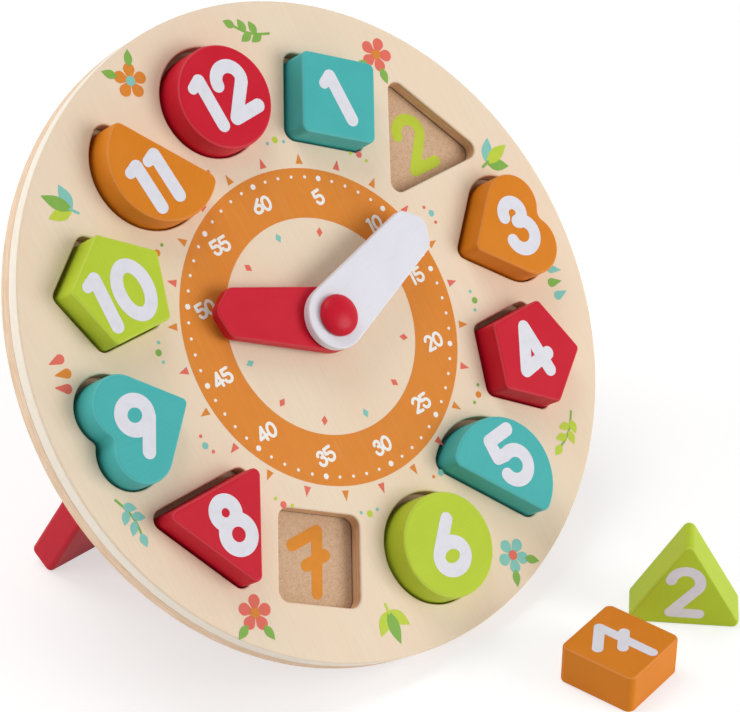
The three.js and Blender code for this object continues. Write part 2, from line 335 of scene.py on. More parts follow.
def add_slab(bm, loops_at, bottom, thickness, low_round=0.0, high_round=0.0):
    """A plate whose outside and holes are loops_at(inset), its caps flat and its sides smooth."""
    levels = [
        [add_ring(bm, outline, bottom + z) for outline in loops_at(inset)]
        for inset, z in edge_profile(thickness, low_round, high_round)
    ]
    for below, above in pairwise(levels):
        for low, high in zip(below, above):
            for face in bmesh.ops.bridge_loops(bm, edges=low + high)["faces"]:
                face.smooth = True
    for cap in (levels[0], levels[-1]):
        edges = [edge for ring in cap for edge in ring]
        bmesh.ops.triangle_fill(bm, edges=edges, use_beauty=True)


def plain(*outlines):
    """The same loops at every inset."""
    return lambda inset: outlines


def finish_piece(bm, name, place, body, finish, slot, *nodes):
    """The piece in its place, riding on its body, in its finish, standing for its solids."""
    bmesh.ops.transform(bm, matrix=place, verts=bm.verts)
    bmesh.ops.recalc_face_normals(bm, faces=bm.faces)
    mesh = bpy.data.meshes.new(name)
    bm.to_mesh(mesh)
    bm.free()
    mesh.materials.append(finish)
    piece = bpy.data.objects.new(name, mesh)
    bpy.context.scene.collection.objects.link(piece)
    even = piece.modifiers.new("even_normals", "WEIGHTED_NORMAL")
    even.mode = "FACE_AREA"
    even.keep_sharp = True
    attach(piece, body)
    if nodes:
        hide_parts(*nodes)


# Finishes

# The colour sockets of a mix node, by number since its others share their names
MIX_FIRST = 6
MIX_SECOND = 7
MIX_RESULT = 2


class Value:
    """A number that varies over a surface; arithmetic on it adds Math nodes."""

    def __init__(self, finish, socket):
        self.finish = finish
        self.socket = socket

    def math(self, operation, *terms):
        return self.finish.add("ShaderNodeMath", {"operation": operation}, dict(enumerate(terms)))

    def __add__(self, other):
        return self.math("ADD", self, other)

    def __sub__(self, other):
        return self.math("SUBTRACT", self, other)

    def __mul__(self, other):
        return self.math("MULTIPLY", self, other)

    def larger(self, other):
        return self.math("MAXIMUM", self, other)

    def step(self, low, high):
        """0 below low, 1 above high, smooth between."""
        return self.finish.add("ShaderNodeMapRange", {"interpolation_type": "SMOOTHSTEP"}, {
            "Value": self,
            "From Min": low,
            "From Max": high,
        })

    def lines(self, period):
        """1 on thin lines a period apart, 0 between them."""
        return self.math("SINE", self * (math.tau / period)).step(*GLUE_LINE)


class Nodes:
    """A node tree of a material or a sky, with its shader."""

    def __init__(self, owner, shader):
        owner.use_nodes = True
        self.tree = owner.node_tree
        self.shader = self.tree.nodes[shader]

    def add(self, kind, settings, sockets, out=0):
        """One output of a new node, its settings made first and then its sockets."""
        node = self.tree.nodes.new(kind)
        for key, value in settings.items():
            setattr(node, key, value)
        self.feed(node, sockets)
        return Value(self, node.outputs[out])

    def feed(self, node, sockets):
        """Each socket linked to a varying value or set to a fixed one."""
        for key, value in sockets.items():
            if isinstance(value, Value):
                self.tree.links.new(value.socket, node.inputs[key])
            else:
                node.inputs[key].default_value = value

    def looked_at(self):
        """1 where the camera, a gloss or a glass looks, 0 for the light itself."""
        camera, gloss, glass = (
            self.add("ShaderNodeLightPath", {}, {}, f"Is {ray} Ray")
            for ray in ("Camera", "Glossy", "Transmission")
        )
        return camera.larger(gloss).larger(glass)

    def mix(self, factor, first, second):
        """The first colour at factor 0, the second at 1."""
        sockets = {"Factor": factor, MIX_FIRST: first, MIX_SECOND: second}
        return self.add("ShaderNodeMix", {"data_type": "RGBA"}, sockets, MIX_RESULT)


class Finish(Nodes):
    """A node material on one principled shader."""

    def __init__(self, name):
        self.material = bpy.data.materials.new(name)
        super().__init__(self.material, "Principled BSDF")

    def object_point(self):
        return self.add("ShaderNodeTexCoord", {}, {}, "Object")

    def local(self, place):
        """Points in millimetres in a piece's own frame."""
        where, turn, _ = place.decompose()
        return self.add("ShaderNodeMapping", {"vector_type": "TEXTURE"}, {
            "Vector": self.object_point(),
            "Location": where,
            "Rotation": turn.to_euler(),
            "Scale": (MM, MM, MM),
        })

    def height(self, point):
        """How far a point is above its frame's own zero."""
        return self.add("ShaderNodeSeparateXYZ", {}, {"Vector": point}, 2)

    def reach(self, point):
        """How far a point is from its frame's origin."""
        settings = {"operation": "LENGTH"}
        return self.add("ShaderNodeVectorMath", settings, {"Vector": point}, "Value")

    def rim(self, point):
        """1 on the outer edge of a board, 0 inside it."""
        return self.reach(self.stretched(point, (1, 1, 0))).step(*RIM_BEGINS)

    def stretched(self, point, scale):
        return self.add("ShaderNodeMapping", {}, {"Vector": point, "Scale": scale})

    def noise(self, point, scale, detail, roughness=0.5, distortion=0.0):
        return self.add("ShaderNodeTexNoise", {}, {
            "Vector": point,
            "Scale": scale,
            "Detail": detail,
            "Roughness": roughness,
            "Distortion": distortion,
        })

    def grain(self, point, scale, detail, roughness=0.5, distortion=0.0):
        """Noise of its own scale along each axis: fibres, flecks or layers."""
        return self.noise(self.stretched(point, scale), 1.0, detail, roughness, distortion)

    def veneer_fibres(self, point):
        """The long faint fibres of the face's veneer, which also show through its ink."""
        return self.grain(point, (1.1, 0.028, 0.4), 4.0, 0.65, 0.3)

    def bump(self, height, distance, strength):
        """A normal for bumps of a height up to a distance in millimetres."""
        return self.add("ShaderNodeBump", {}, {
            "Height": height,
            "Distance": distance * MM,
            "Strength": strength,
        })

    def done(self, tone, roughness, normal, sheen=SHEEN):
        """The material, its shader fed."""
        self.feed(self.shader, {
            "Base Color": tone,
            "Roughness": roughness,
            "Normal": normal,
            "Specular IOR Level": sheen,
        })
        return self.material


def painted(name, colour, place, roughness=BLOCK_ROUGHNESS, top=None):
    """Satin paint on close-grained wood: fibres, a mottle, orange peel and a painted highlight along the top edge.
    """
    f = Finish(name)
    point = f.local(place)
    fibres = f.grain(point, (0.09, 2.2, 1.1), 3.0, 0.6)
    mottle = f.noise(point, 0.06, 2.0)
    peel = f.noise(point, 1.6, 1.0)
    tone = f.mix(mottle.step(0.3, 0.7), colour, toned(colour, 1.03, 0.004))
    tone = f.mix(fibres.step(0.5, 0.78) * 0.4, tone, toned(colour, 0.86))
    # A painted highlight: a paler band along the rounded top edge, where the light catches it
    if top:
        z = f.height(point)
        begins, full, fades, ends = (top - depth for depth in EDGE_HIGHLIGHT_BAND)
        edge = z.step(begins, full) - z.step(fades, ends)
        tone = f.mix(edge * 0.55, tone, toned(colour, 1.05, 0.07))
    gloss = mottle * 0.12 + (roughness - 0.06) + fibres * 0.06
    return f.done(tone, gloss, f.bump(fibres * 0.7 + peel * 0.3, 0.05, 0.6))


def numeral_paint(name, colour, place):
    """Screen-printed paint, smooth and flat, a little cloudy."""
    f = Finish(name)
    point = f.local(place)
    cloud = f.noise(point, 0.25, 3.0)
    fibres = f.grain(point, (0.09, 2.0, 1.0), 2.0, 0.6)
    tone = f.mix(cloud.step(0.4, 0.75) * 0.7, colour, toned(colour, 0.93))
    return f.done(tone, cloud * 0.1 + 0.45, f.bump(fibres, 0.02, 0.5))


def printed_ink(name, colour):
    """Ink on the veneer, through which the fibres show."""
    f = Finish(name)
    point = f.local(FACE)
    fibres = f.veneer_fibres(point)
    cloud = f.noise(point, 0.12, 3.0)
    thin = f.mix(0.08, colour, WOODS["veneer_under_ink"])
    tone = f.mix(fibres.step(0.45, 0.8), colour, thin)
    tone = f.mix(cloud.step(0.45, 0.75) * 0.35, tone, toned(colour, 0.9))
    return f.done(tone, fibres * 0.12 + 0.45, f.bump(fibres, 0.04, 0.4))


def veneer_tone(f, point, fibres):
    """Pale veneer with long faint fibres, a slow drift in colour and short darker flecks."""
    drift = f.grain(point, (0.03, 0.008, 0.02), 2.0)
    flecks = f.grain(point, (1.4, 0.16, 0.8), 1.0)
    tone = f.mix(fibres.step(0.3, 0.72), WOODS["veneer"], WOODS["veneer_fibre"])
    tone = f.mix(drift.step(0.35, 0.7) * 0.5, tone, WOODS["veneer_drift"])
    return f.mix(flecks.step(0.66, 0.8) * 0.2, tone, WOODS["veneer_fleck"])


def lacquered_plywood(name):
    """The front board: veneer on its face, plies and glue lines round it and in its pockets, the plies painted
    paler round it as painted light and darker in its pockets as painted shade.
    """
    f = Finish(name)
    point = f.local(FACE)
    fibres = f.veneer_fibres(point)
    streaks = f.grain(point, (0.16, 0.16, 2.4), 3.0, 0.6).step(0.3, 0.7)
    z = f.height(point)
    glue = z.lines(GLUE_PERIOD)
    # Painted shade: the ply on the pocket walls, darker than the same ply at the rim
    pocket = f.mix(streaks, WOODS["ply"], WOODS["ply_streak"])
    pocket = f.mix(glue * 0.7, pocket, WOODS["ply_glue"])
    # Painted shade: the foot of each pocket wall turns dark brown
    pocket = f.mix(z.step(*POCKET_FOOT_SHADE), WOODS["pocket_foot_shade"], pocket)
    # Painted light: the ply at the outer rim, far paler, its glue lines fainter
    rim = f.mix(streaks, WOODS["rim"], WOODS["rim_streak"])
    rim = f.mix(glue * 0.25, rim, WOODS["rim_glue"])
    side = f.mix(f.rim(point), pocket, rim)
    tone = f.mix(z.step(*VENEER_EDGE), side, veneer_tone(f, point, fibres))
    return f.done(tone, fibres * 0.14 + 0.45, f.bump(fibres, 0.04, 0.4))


def fibreboard(name):
    """The back board: pressed fibres, tan with fine darker and paler specks, its layered rim painted paler as
    painted light.
    """
    f = Finish(name)
    point = f.local(FACE)
    specks = f.noise(point, 1.2, 3.0, 0.75)
    clumps = f.noise(point, 0.45, 3.0, 0.6)
    threads = f.grain(point, (0.5, 2.6, 1.5), 2.0, 0.6)
    layers = f.grain(point, (0.09, 0.09, 1.3), 3.0, 0.6)
    flat = f.mix(clumps.step(0.3, 0.7), WOODS["pressed"], WOODS["pressed_clump"])
    flat = f.mix(specks.step(0.5, 0.64) * 0.5, flat, WOODS["pressed_speck"])
    flat = f.mix(threads.step(0.6, 0.8) * 0.4, flat, WOODS["pressed_thread"])
    # Painted light: the rim's layered edge, painted paler than the face
    edge = f.mix(layers.step(0.35, 0.65), WOODS["pressed_edge"], WOODS["pressed_layer"])
    tone = f.mix(f.rim(point), flat, edge)
    bumps = f.bump(specks * 0.5 + clumps * 0.5, 0.08, 0.6)
    return f.done(tone, specks * 0.15 + 0.62, bumps, PRESSED_SHEEN)


def beech(name):
    """The spacer and the dowels: bare beech with fine short rays."""
    f = Finish(name)
    point = f.local(FACE)
    fibres = f.grain(point, (1.8, 1.8, 0.12), 3.0, 0.6)
    rays = f.grain(point, (2.6, 2.6, 0.5), 1.0)
    tone = f.mix(fibres.step(0.3, 0.7), WOODS["beech"], WOODS["beech_fibre"])
    tone = f.mix(rays.step(0.64, 0.8) * 0.6, tone, WOODS["beech_ray"])
    return f.done(tone, fibres * 0.15 + 0.5, f.bump(fibres, 0.05, 0.5), BEECH_SHEEN)


# The blocks and their pockets

def polygon_discs(corners, apothem, corner):
    reach = (apothem - corner) / math.cos(math.pi / corners)
    turns = [math.tau * k / corners for k in range(corners)]
    return [(reach * math.cos(a), reach * math.sin(a), corner) for a in turns]


def heart_discs(lobe, spread, rise, tip, cleft):
    cleft_rise = rise + math.sqrt((lobe + cleft) ** 2 - spread ** 2)
    return [(0, 0, tip), (rise, -spread, lobe), (cleft_rise, 0, -cleft), (rise, spread, lobe)]


def dee_discs(curve, flat, corner):
    x = corner - flat
    y = math.sqrt((curve - corner) ** 2 - x ** 2)
    return [(0, 0, curve), (x, y, corner), (x, -y, corner)]


# Each shape: its discs in shares of the block span, its place as a share of the ring's radius and
# a bearing from three o'clock (the second pocket is opposite), its turn and its two blocks' paints
SHAPES = [
    ("square", polygon_discs(4, 0.4017, 0.0742),
     0.9545, 57.7, 14.2, ("teal", "orange")),
    ("triangle", polygon_discs(3, TRIANGLE_APOTHEM, 0.0633),
     1.0057, 29.2, 90.0, ("lime", "red")),
    ("heart", heart_discs(0.2969, 0.2183, 0.5742, 0.0524, 0.0895),
     0.8305, 0.0, 0.0, ("orange", "teal")),
    ("pentagon", polygon_discs(5, 0.4323, 0.0524),
     0.9735, -30.7, -90.0, ("red", "lime")),
    ("dee", dee_discs(0.5699, 0.131, 0.0852),
     0.964, -65.1, 40.1, ("teal", "orange")),
    ("circle", [(0, 0, 0.5)],
     1.0, -90.0, 0.0, ("lime", "red")),
]


def hours():
    """The twelve hours: number, shape, outline discs, place on the face, turn and paint."""
    table = []
    for number in range(1, 13):
        half, kind = divmod(number - 1, len(SHAPES))
        shape, shares, ring, bearing, turn, paints = SHAPES[kind]
        place = math.radians(bearing + 180 * half)
        table.append({
            "number": number,
            "shape": shape,
            "discs": [(x * BLOCK_SPAN, y * BLOCK_SPAN, r * BLOCK_SPAN) for x, y, r in shares],
            "x": RING_RADIUS * ring * math.cos(place),
            "y": RING_RADIUS * ring * math.sin(place),
            "turn": turn + 180 * half,
            "paint": paints[half],
        })
    return table


HOURS = hours()


def upright_place(hour):
    """The frame of a block's underside, its numeral upright: on the board or loose in front."""
    if hour["number"] == SQUARE_HOUR:
        table = at(LOOSE_SQUARE[0], LOOSE_SQUARE[1] + FACE_Y)
        return Matrix.Scale(MM, 4) @ table @ turned(LOOSE_SQUARE_TURN)
    if hour["number"] == TRIANGLE_HOUR:
        table = at(LOOSE_TRIANGLE[0], LOOSE_TRIANGLE[1] + FACE_Y, BLOCK_SPAN * TRIANGLE_APOTHEM)
        standing = Matrix.Scale(MM, 4) @ table @ turned(LOOSE_TRIANGLE_TURN)
        return standing @ turned(90, "X") @ at(z=-BLOCK_THICKNESS)
    return FACE @ at(hour["x"], hour["y"] - BLOCK_SLIP, -FRONT_THICKNESS)


def make_block(hour):
    def loops(inset):
        return [belt(hour["discs"], -inset)]

    name = f"block_{hour['number']}_{hour['shape']}"
    place = upright_place(hour) @ turned(hour["turn"])
    bm = bmesh.new()
    add_slab(bm, loops, 0, BLOCK_THICKNESS, BLOCK_ROUND, BLOCK_ROUND)
    paint = painted(f"{name}_paint", PAINTS[hour["paint"]], place, top=BLOCK_THICKNESS)
    slot = f"{hour['paint']}_paint"
    finish_piece(bm, f"{name}_painted", place, f"block_{hour['number']}", paint, slot, name)


# Numerals: the strokes of each figure about its own middle

GLYPHS = {
    "0": [("ring", 0, 0, 6.9, 10.6)],
    "1": [("flag", (-4.5, 8.9), (0, 10.5)), ("line", [(0, 10.5), (0, -10.5)])],
    "short 1": [("flag", (-4.3, 8.9), (0, 9.7)), ("line", [(0, 9.7), (0, -9.7)])],
    "2": [("line", [*arc(-0.1, 5.3, 6.3, 172, -24), (-5.9, -10.9)]),
          ("line", [(-5.9, -10.9), (6.5, -11.0)])],
    "broad 2": [("line", [*arc(0.7, 4.3, 6.3, 176, -24), (-5.9, -10.9)]),
                ("line", [(-5.9, -10.9), (7.1, -11.1)])],
    "3": [("line", arc(0.25, 5.6, 4.95, 180, -72)), ("line", arc(0.4, -5.0, 6.45, 86, -177))],
    "4": [("line", [(1.3, 11.0), (-8.1, -6.2)]), ("line", [(-8.1, -6.2), (6.8, -4.0)]),
          ("line", [(1.3, 11.0), (4.0, -10.8)])],
    "5": [("line", [(4.5, 11.8), (-6.8, 10.8)]), ("line", [(-6.8, 10.8), (-6.6, 2.8)]),
          ("line", [(-6.6, 2.8), *arc(0.5, -3.7, 6.6, 112, -164)])],
    "6": [("ring", 0, -3.3, 7.0, 5.9), ("line", [(5.6, 11.6), (-5.5, 0.5)])],
    "7": [("line", [(-6.2, 11.4), (8.1, 11.3)]), ("line", [(8.1, 11.3), (-5.7, -11.4)]),
          ("line", [(-4.3, 0.9), (6.2, 0.8)])],
    "8": [("bowls", (-0.5, 5.4, 5.0), (0.5, -4.9, 6.3))],
    "9": [("ring", 0.15, 4.8, 6.5, 6.15), ("line", [(6.1, 1.9), (-1.5, -11.0)])],
}

# Each hour's figures: figure, its middle from the block's origin with the clock upright, tilt
NUMERALS = {
    1: [("1", 0.5, -0.8, 1.3)],
    2: [("2", 0.4, 0.3, 0.0)],
    3: [("3", 23.1, 0.7, 0.0)],
    4: [("4", -1.3, 1.2, 0.0)],
    5: [("5", 7.3, 5.2, 0.0)],
    6: [("6", -1.1, -1.7, 0.0)],
    7: [("7", 0.5, -1.6, 0.0)],
    8: [("8", 0.3, -1.2, 0.0)],
    9: [("9", -23.1, -0.2, 0.0)],
    10: [("1", -10.6, -2.4, 0.0), ("0", 4.2, -2.6, 0.0)],
    11: [("short 1", -12.1, -7.4, 7.3), ("short 1", -1.7, -6.0, 7.3)],
    12: [("1", -8.2, -0.1, 4.0), ("broad 2", 5.0, 1.2, 5.5)],
}
# The loose blocks' own, which sit otherwise than on their pockets' floors
LOOSE_NUMERALS = {
    TRIANGLE_HOUR: [("2", -0.3, 2.5, 0.0)],
    SQUARE_HOUR: [("7", -0.1, -2.1, 0.0)],
}


def figure_strokes(figure, place, half):
    """The outlines of each stroke of one figure."""
    strokes = []
    for kind, *shape in GLYPHS[figure]:
        if kind == "ring":
            x, y, rx, ry = shape
            outlines = [circle(x, y, rx + half, ry + half), circle(x, y, rx - half, ry - half)]
        elif kind == "bowls":
            outlines = [two_circles(*((x, y, r + half) for x, y, r in shape))]
            outlines += [circle(x, y, r - half) for x, y, r in shape]
        elif kind == "flag":
            tip, joint = shape
            outlines = [belt([(*joint, half), (*tip, half * FLAG_SHARE)])]
        else:
            outlines = [ribbon(shape[0], half)]
        strokes.append([moved(outline, place) for outline in outlines])
    return strokes


def add_ink(bm, outlines, level, base=0.0):
    """Ink on a surface, each level a hair higher than the last so that no two faces coincide."""
    add_slab(bm, plain(*outlines), base - INK_SUNK, INK_SUNK + INK_PROUD + INK_STEP * level)


def add_figures(bm, figures, half, base):
    for figure, x, y, tilt in figures:
        for level, outlines in enumerate(figure_strokes(figure, at(x, y) @ turned(tilt), half)):
            add_ink(bm, outlines, level, base)


def make_numeral(hour):
    """The white numeral on top of the block."""
    number = hour["number"]
    place = upright_place(hour)
    half = LOOSE_NUMERAL_HALF if number in LOOSE_NUMERALS else NUMERAL_HALF
    bm = bmesh.new()
    add_figures(bm, LOOSE_NUMERALS.get(number, NUMERALS[number]), half, BLOCK_THICKNESS)
    paint = numeral_paint(f"numeral_{number}_paint", PAINTS["white"], place)
    finish_piece(bm, f"numeral_{number}", place, f"block_{number}", paint, "white_paint")


def make_pocket_numeral(hour):
    """The same numeral on the pocket's floor, in the block's colour."""
    number = hour["number"]
    place = FACE @ at(hour["x"] + POCKET_NUMERAL_SHIFT, hour["y"], BACK_FACE)
    bm = bmesh.new()
    add_figures(bm, NUMERALS[number], POCKET_NUMERAL_HALF, 0)
    paint = numeral_paint(f"pocket_numeral_{number}_ink", POCKET_INKS[hour["paint"]], place)
    slot = f"{hour['paint']}_paint"
    finish_piece(bm, f"pocket_numeral_{number}", place, "board", paint, slot)


# The boards

def pocket_outline(hour, inset):
    turn = at(hour["x"], hour["y"]) @ turned(hour["turn"])
    return moved(belt(hour["discs"], POCKET_CLEARANCE + inset), turn)


def make_front_board():
    def loops(inset):
        rim = circle(0, 0, BOARD_RADIUS - inset, step=RIM_STEP)
        bore = circle(0, PIVOT_RISE, BORE_RADIUS + inset, step=BORE_STEP)
        return [rim, bore] + [pocket_outline(hour, inset) for hour in HOURS]

    bm = bmesh.new()
    add_slab(bm, loops, -FRONT_THICKNESS, FRONT_THICKNESS, 0, BOARD_ROUND)
    plywood = lacquered_plywood("lacquered_plywood")
    finish_piece(
        bm, "front_board_veneered", FACE, "board", plywood, "face_plywood", "front_board"
    )


def make_back_board():
    def loops(inset):
        rim = circle(0, 0, BOARD_RADIUS - inset, step=RIM_STEP)
        hole = DOWEL_RADIUS + SEAT_GAP + inset
        return [rim] + [circle(x, DOWEL_Y, hole, step=SMALL_STEP) for x in (-DOWEL_X, DOWEL_X)]

    bm = bmesh.new()
    add_slab(bm, loops, BACK_UNDERSIDE, BACK_THICKNESS, BOARD_ROUND, 0)
    pressed = fibreboard("pressed_fibreboard")
    finish_piece(
        bm, "back_board_pressed", FACE, "board", pressed, "back_fibreboard", "back_board"
    )


# The hands, the pin and the stand

def make_hand(name, paint_name, reach, tip, half, thickness, underside, bearing):
    """A hand round its bore, with straight sides, two shoulders and a blunt tip."""
    shoulder = reach - tip - HAND_SHOULDER
    side = half - HAND_SHOULDER
    discs = [
        (0, 0, HAND_PIVOT),
        (shoulder, -side, HAND_SHOULDER),
        (reach - HAND_SHOULDER, 0, HAND_SHOULDER),
        (shoulder, side, HAND_SHOULDER),
    ]

    def loops(inset):
        return [belt(discs, -inset), circle(0, 0, BORE_RADIUS, step=BORE_STEP)]

    place = FACE @ at(0, PIVOT_RISE, underside) @ turned(bearing)
    bm = bmesh.new()
    add_slab(bm, loops, 0, thickness, HAND_ROUND, HAND_ROUND)
    paint = painted(f"{name}_paint", PAINTS[paint_name], place, HAND_ROUGHNESS, thickness)
    finish_piece(bm, f"{name}_painted", place, name, paint, f"{paint_name}_paint", name)


def make_centre_pin():
    """The pin turned from its profile: a shaft under a head with a short rim and a domed top."""
    rim_top = PIN_UNDERSIDE + PIN_RIM
    profile = [
        (0, -PIN_DEPTH),
        (PIN_SHAFT, -PIN_DEPTH),
        (PIN_SHAFT, PIN_UNDERSIDE),
        (PIN_HEAD - PIN_EDGE, PIN_UNDERSIDE),
        (PIN_HEAD, PIN_UNDERSIDE + PIN_EDGE),
        *arc(0, rim_top, PIN_HEAD, 0, 90, PIN_DOME, DOME_STEP)[:-1],
        (0, rim_top + PIN_DOME),
    ]
    bm = bmesh.new()
    verts = [bm.verts.new((radius, 0, z)) for radius, z in profile]
    geom = verts + [bm.edges.new(pair) for pair in pairwise(verts)]
    axis = (0, 0, 1)
    bmesh.ops.spin(bm, geom=geom, axis=axis, angle=math.tau, steps=PIN_STEPS, use_merge=True)
    bmesh.ops.remove_doubles(bm, verts=bm.verts, dist=SAME_VERTEX)
    for face in bm.faces:
        face.smooth = face.calc_center_median().z > PIN_UNDERSIDE
    place = FACE @ at(y=PIVOT_RISE)
    paint = painted("centre_pin_paint", PAINTS["red"], place, PIN_ROUGHNESS)
    finish_piece(bm, "centre_pin_domed", place, "board", paint, "red_paint", "centre_pin")


def make_stand():
    """The panel: its side outline pulled across the clock's width, its root flush with the back."""
    root = (0, STAND_ROOT, BACK_UNDERSIDE - SEAT_GAP)
    lean = math.acos(FACE.to_3x3().normalized()[2][2])
    half = STAND_THICKNESS / 2
    slope = lean - math.radians(STAND_DROOP)
    drop = (FACE @ Vector(root)).z / MM - (half - STAND_FOOT) * math.sin(slope) - STAND_FOOT
    foot = drop / math.cos(slope)
    slant = half * math.tan(math.radians(STAND_DROOP))

    def loops(inset):
        lower = arc(foot, STAND_FOOT - half, STAND_FOOT - inset, -90, 0, step=FOOT_STEP)
        upper = arc(foot, half - STAND_FOOT, STAND_FOOT - inset, 0, 90, step=FOOT_STEP)
        return [[(inset - slant, half - inset), (inset + slant, inset - half), *lower, *upper]]

    bm = bmesh.new()
    add_slab(bm, loops, -STAND_WIDTH / 2, STAND_WIDTH, STAND_ROUND, STAND_ROUND)
    place = FACE @ at(*root) @ turned(-STAND_DROOP, "X") @ turned(90, "Y")
    paint = painted("stand_paint", PAINTS["red"], place)
    finish_piece(bm, "stand_panel_painted", place, "stand", paint, "red_paint", "stand_panel")


# The face print

SLOTS = {m["slot"] for m in frame["record"]["materials"]}

# The minute ring's band and the radii of what stands on it or beside it
BAND_OUTSIDE = 69.5
BAND_INSIDE = 47.5
DOTS_AT = 65.6
FIVE_DOT = 1.25
MINUTE_DOT = 0.7
NUMBERS_AT = 57.0
RAYS_AT = 71.4
RAYS = 24
DIAMONDS_AT = 41.5
DIAMONDS = 12

# The minute numbers: their scale, and their figures' stroke and widths before it
NUMBER_SCALE = 0.27
NUMBER_HALF = 2.6
NARROW_FIGURE = 9.5
WIDE_FIGURE = 17.5

SPRIG_LENGTH = 17
SPRIG_LEAVES = ((0.22, 1), (0.36, -1), (0.52, 1), (0.68, -1))
SPOTS_AT = 82.5
SPOT_INKS = ("lime", "coral", "teal", "green", "orange", "teal") * 2


class Print:
    """Inked outlines gathered by colour at their levels, and made one piece a colour."""

    def __init__(self):
        self.shapes = {}

    def ink(self, colour, *outlines, level=0):
        self.shapes.setdefault(colour, []).append((outlines, level))

    def make(self):
        for colour, shapes in self.shapes.items():
            bm = bmesh.new()
            for outlines, level in shapes:
                add_ink(bm, outlines, level)
            ink = printed_ink(f"{colour}_ink", INKS[colour])
            slot = f"{colour}_paint" if f"{colour}_paint" in SLOTS else "face_plywood"
            finish_piece(bm, f"face_print_{colour}", FACE, "board", ink, slot)


def spot(bearing, radius, turn=0.0):
    """A place on the face by clock bearing (degrees from twelve), turned from pointing outward."""
    angle = 90 - bearing
    x, y = radius * math.cos(math.radians(angle)), radius * math.sin(math.radians(angle))
    return at(x, y) @ turned(angle + turn)


def print_minute_number(face, minute):
    """A small number upright on the ring."""
    x, y, _ = spot(minute * 6, NUMBERS_AT).translation
    widths = [NARROW_FIGURE if figure == "1" else WIDE_FIGURE for figure in str(minute)]
    cursor = -sum(widths) / 2
    for figure, width in zip(str(minute), widths):
        place = at(x, y) @ Matrix.Scale(NUMBER_SCALE, 4) @ at(cursor + width / 2)
        for k, outlines in enumerate(figure_strokes(figure, place, NUMBER_HALF)):
            face.ink("white", *outlines, level=2 + k)
        cursor += width


def print_minute_ring(face):
    """A broad band with the minutes in fives and a dot for every minute, between small motifs."""
    band = [circle(0, 0, radius, step=BAND_STEP) for radius in (BAND_OUTSIDE, BAND_INSIDE)]
    face.ink("orange", *band)
    for minute in range(60):
        radius = MINUTE_DOT if minute % 5 else FIVE_DOT
        dot = circle(0, 0, radius, step=DOT_STEP)
        face.ink("white", moved(dot, spot(minute * 6, DOTS_AT)), level=2)
        if minute % 5 == 0:
            print_minute_number(face, minute or 60)
    ray = [(0, -1.7), (4.6, 0), (0, 1.7)]
    for k in range(RAYS):
        bearing = 360 / RAYS * (k + 0.5)
        face.ink("orange" if k % 2 else "coral", moved(ray, spot(bearing, RAYS_AT)))
    diamond = [(-2.2, 0), (0, -1.5), (2.2, 0), (0, 1.5)]
    for k in range(DIAMONDS):
        place = spot(360 / DIAMONDS * k, DIAMONDS_AT)
        face.ink("coral" if k % 3 else "teal", moved(diamond, place))


def print_sprig(face, place, stem, leaves):
    """A bent stem with pairs of small leaves and one at the tip."""
    def along(t):
        return t * SPRIG_LENGTH - SPRIG_LENGTH / 2, 2.2 * math.sin(t * 2.6) - 1.2

    path = [along(k / SPRIG_STEPS) for k in range(SPRIG_STEPS + 1)]
    face.ink(stem, moved(ribbon(path, 0.55), place))
    for t, side in SPRIG_LEAVES:
        face.ink(leaves, moved(leaf(6.6, 1.9), place @ at(*along(t)) @ turned(48 * side)), level=1)
    face.ink(leaves, moved(leaf(6.2, 1.9), place @ at(*path[-1]) @ turned(-12)), level=1)


def print_blossom(face, place, petals, middle):
    """Five round petals about a spot, with two leaves below."""
    petal = belt([(1.6, 0, 0.9), (5.2, 0, 2.7)], step=SMALL_STEP)
    for k in range(5):
        face.ink(petals, moved(petal, place @ turned(72 * k)), level=k)
    face.ink(middle, moved(circle(0, 0, 2.2, step=SMALL_STEP), place), level=7)
    for side in (-1, 1):
        leaf_place = place @ turned(180 + 38 * side) @ at(6.4)
        face.ink("green", moved(leaf(7.5, 1.9), leaf_place), level=8)


def print_leaf_fan(face, place, *colours):
    """Three leaves from one foot."""
    for turn, length, level, colour in zip((-42, 0, 42), (12, 15, 12), (1, 2, 1), colours):
        face.ink(colour, moved(leaf(length, 2.9), place @ at(-6.5) @ turned(turn)), level=level)
    face.ink(colours[0], moved(ribbon([(-9.5, 0), (-5.5, 0)], 0.6), place), level=3)


def print_drops(face, place, *colours):
    """Three drops in a row."""
    drop = belt([(0, 0, 2.1), (5.4, 0, 0.25)], step=SMALL_STEP)
    for k, colour in enumerate(colours, -1):
        face.ink(colour, moved(drop, place @ at(-3 + 1.5 * abs(k), 6.2 * k) @ turned(-14 * k)))


# The motifs near the rim: which, its clock bearing, radius, turn and inks
MOTIFS = [
    (print_sprig, 16, 131, 72, ("green", "green")),
    (print_blossom, 44, 131.5, 0, ("coral", "orange")),
    (print_leaf_fan, 76, 130.5, 0, ("green", "lime", "teal")),
    (print_drops, 104, 130, 0, ("teal", "green", "teal")),
    (print_sprig, 134, 131, -100, ("green", "lime")),
    (print_blossom, 164, 131.5, 180, ("teal", "coral")),
    (print_leaf_fan, 196, 130.5, 10, ("lime", "green", "lime")),
    (print_blossom, 226, 131.5, 200, ("coral", "orange")),
    (print_sprig, 256, 131, 85, ("green", "teal")),
    (print_drops, 284, 130, 0, ("coral", "orange", "coral")),
    (print_leaf_fan, 316, 130.5, 0, ("teal", "green", "lime")),
    (print_blossom, 346, 131.5, 180, ("orange", "teal")),
]


